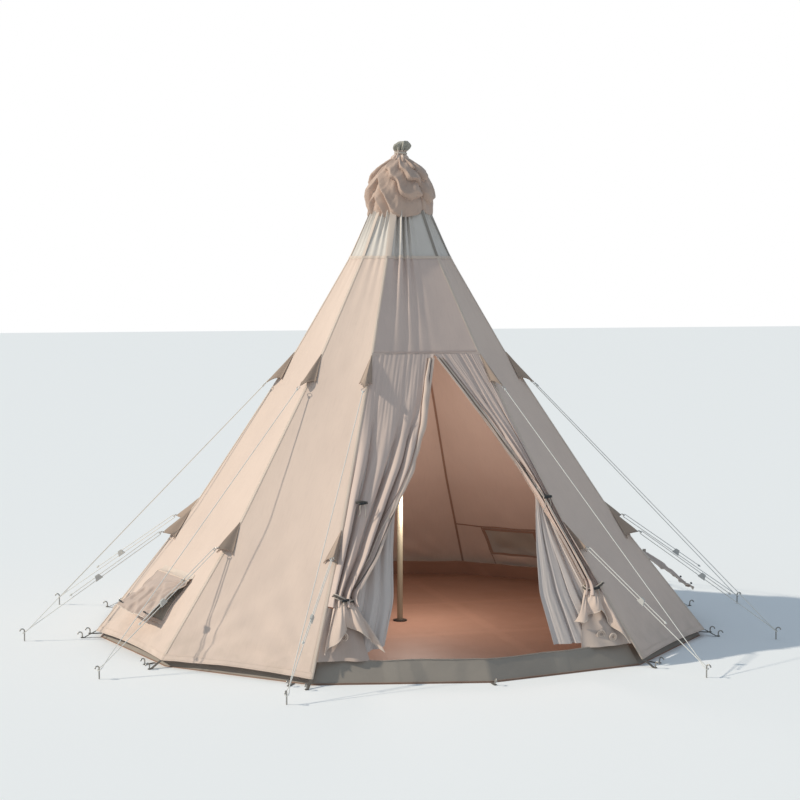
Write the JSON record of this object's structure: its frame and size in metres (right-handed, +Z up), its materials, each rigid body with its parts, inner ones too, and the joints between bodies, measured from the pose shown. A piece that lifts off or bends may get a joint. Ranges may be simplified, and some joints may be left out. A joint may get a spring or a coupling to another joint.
{
  "type": "teepee tent",
  "caption": "Single-pole canvas teepee tent with a netted vent under a gathered cap, tied-back door curtains, window flaps, a tub groundsheet and taut guy ropes.",
  "frame": {"origin": "on the ground at the pole's foot, at the centre of the ridges", "axes": "+Z up along the pole, -Y out of the door, +X to the right for someone who looks at the door"},
  "size_m": [4.958, 4.6264, 3.162],
  "materials": {
    "canvas": "woven cotton canvas, matt, warm cream",
    "flap_canvas": "woven canvas, matt, greyed cream",
    "vent_mesh": "fine woven net, grey white",
    "window_mesh": "fine woven net over canvas shade",
    "curtain_net": "fine light net, semi-sheer",
    "cap_canvas": "gathered tan canvas, creased",
    "tuft_cloth": "bunched grey-green cloth",
    "pole_steel": "olive grey powder coat, slightly worn",
    "black_plastic": "moulded black plastic",
    "groundsheet": "coated terracotta groundsheet, slight sheen",
    "sill_cloth": "coated grey olive cloth",
    "tie_webbing": "dark webbing with toggles",
    "hood_canvas": "doubled brown canvas",
    "zinc_wire": "zinc plated wire",
    "loop_webbing": "dark webbing",
    "peg_steel": "dull galvanised rod",
    "rope": "braided off-white cord",
    "slider_plastic": "moulded pale grey plastic"
  },
  "bodies": {
    "root": {"panel_01": "canvas", "panel_02": "canvas", "panel_03": "canvas", "panel_04": "canvas", "panel_05": "canvas", "panel_06": "canvas", "panel_07": "canvas", "panel_08": "canvas", "panel_09": "canvas", "panel_10": "canvas", "door_header": "canvas", "vent_net": "vent_mesh", "crown_cone": "canvas", "vent_cap": "cap_canvas", "cap_tuft": "tuft_cloth", "pole_section_1": "pole_steel", "pole_section_2": "pole_steel", "pole_section_3": "pole_steel", "pole_section_4": "pole_steel", "pole_foot": "black_plastic", "pole_head": "black_plastic", "groundsheet_floor": "groundsheet", "groundsheet_wall": "groundsheet", "door_sill": "sill_cloth", "door_curtain_left": "canvas", "door_curtain_right": "canvas", "net_curtain_left": "curtain_net", "net_curtain_right": "curtain_net", "curtain_ties": "tie_webbing", "window_nets": "window_mesh", "upper_hoods": "hood_canvas", "lower_hoods": "hood_canvas", "hood_rings": "zinc_wire", "hem_loops": "loop_webbing", "pegs": "peg_steel", "guy_rope_01": "rope", "guy_rope_02": "rope", "guy_rope_03": "rope", "guy_rope_04": "rope", "guy_rope_05": "rope", "guy_rope_06": "rope", "guy_rope_07": "rope", "guy_rope_08": "rope", "guy_rope_09": "rope", "guy_rope_10": "rope", "guy_rope_11": "rope"},
    "slider_body_01": {"slider_01": "slider_plastic"},
    "slider_body_02": {"slider_02": "slider_plastic"},
    "slider_body_03": {"slider_03": "slider_plastic"},
    "slider_body_04": {"slider_04": "slider_plastic"},
    "slider_body_05": {"slider_05": "slider_plastic"},
    "slider_body_06": {"slider_06": "slider_plastic"},
    "slider_body_07": {"slider_07": "slider_plastic"},
    "slider_body_08": {"slider_08": "slider_plastic"},
    "slider_body_09": {"slider_09": "slider_plastic"},
    "slider_body_10": {"slider_10": "slider_plastic"},
    "slider_body_11": {"slider_11": "slider_plastic"},
    "flap_body_02": {"window_flap_02": "flap_canvas"},
    "flap_body_04": {"window_flap_04": "flap_canvas"},
    "flap_body_09": {"window_flap_09": "flap_canvas"}
  },
  "joints": [
    {"name": "slider_run_01", "type": "slide", "parent": "root", "child": "slider_body_01", "axis": [0.4135, -0.7161, -0.5623], "range_m": [-0.25, 0.15]},
    {"name": "slider_run_02", "type": "slide", "parent": "root", "child": "slider_body_02", "axis": [0.7161, -0.4135, -0.5623], "range_m": [-0.25, 0.15]},
    {"name": "slider_run_03", "type": "slide", "parent": "root", "child": "slider_body_03", "axis": [0.8269, 0, -0.5623], "range_m": [-0.25, 0.15]},
    {"name": "slider_run_04", "type": "slide", "parent": "root", "child": "slider_body_04", "axis": [0.7161, 0.4135, -0.5623], "range_m": [-0.25, 0.15]},
    {"name": "slider_run_05", "type": "slide", "parent": "root", "child": "slider_body_05", "axis": [0.4135, 0.7161, -0.5623], "range_m": [-0.25, 0.15]},
    {"name": "slider_run_06", "type": "slide", "parent": "root", "child": "slider_body_06", "axis": [0, 0.8269, -0.5623], "range_m": [-0.25, 0.15]},
    {"name": "slider_run_07", "type": "slide", "parent": "root", "child": "slider_body_07", "axis": [-0.4135, 0.7161, -0.5623], "range_m": [-0.25, 0.15]},
    {"name": "slider_run_08", "type": "slide", "parent": "root", "child": "slider_body_08", "axis": [-0.7161, 0.4135, -0.5623], "range_m": [-0.25, 0.15]},
    {"name": "slider_run_09", "type": "slide", "parent": "root", "child": "slider_body_09", "axis": [-0.8269, 0, -0.5623], "range_m": [-0.25, 0.15]},
    {"name": "slider_run_10", "type": "slide", "parent": "root", "child": "slider_body_10", "axis": [-0.7161, -0.4135, -0.5623], "range_m": [-0.25, 0.15]},
    {"name": "slider_run_11", "type": "slide", "parent": "root", "child": "slider_body_11", "axis": [-0.4135, -0.7161, -0.5623], "range_m": [-0.25, 0.15]},
    {"name": "flap_hinge_02", "type": "hinge", "parent": "root", "child": "flap_body_02", "pos_m": [1.56916, -0.42046, 0.44457], "axis": [-0.2588, -0.9659, 0], "range_deg": [-12, 95]},
    {"name": "flap_hinge_04", "type": "hinge", "parent": "root", "child": "flap_body_04", "pos_m": [1.1487, 1.1487, 0.44457], "axis": [0.7071, -0.7071, 0], "range_deg": [-12, 95]},
    {"name": "flap_hinge_09", "type": "hinge", "parent": "root", "child": "flap_body_09", "pos_m": [-1.56916, -0.42046, 0.44457], "axis": [-0.2588, 0.9659, 0], "range_deg": [-12, 95]}
  ]
}
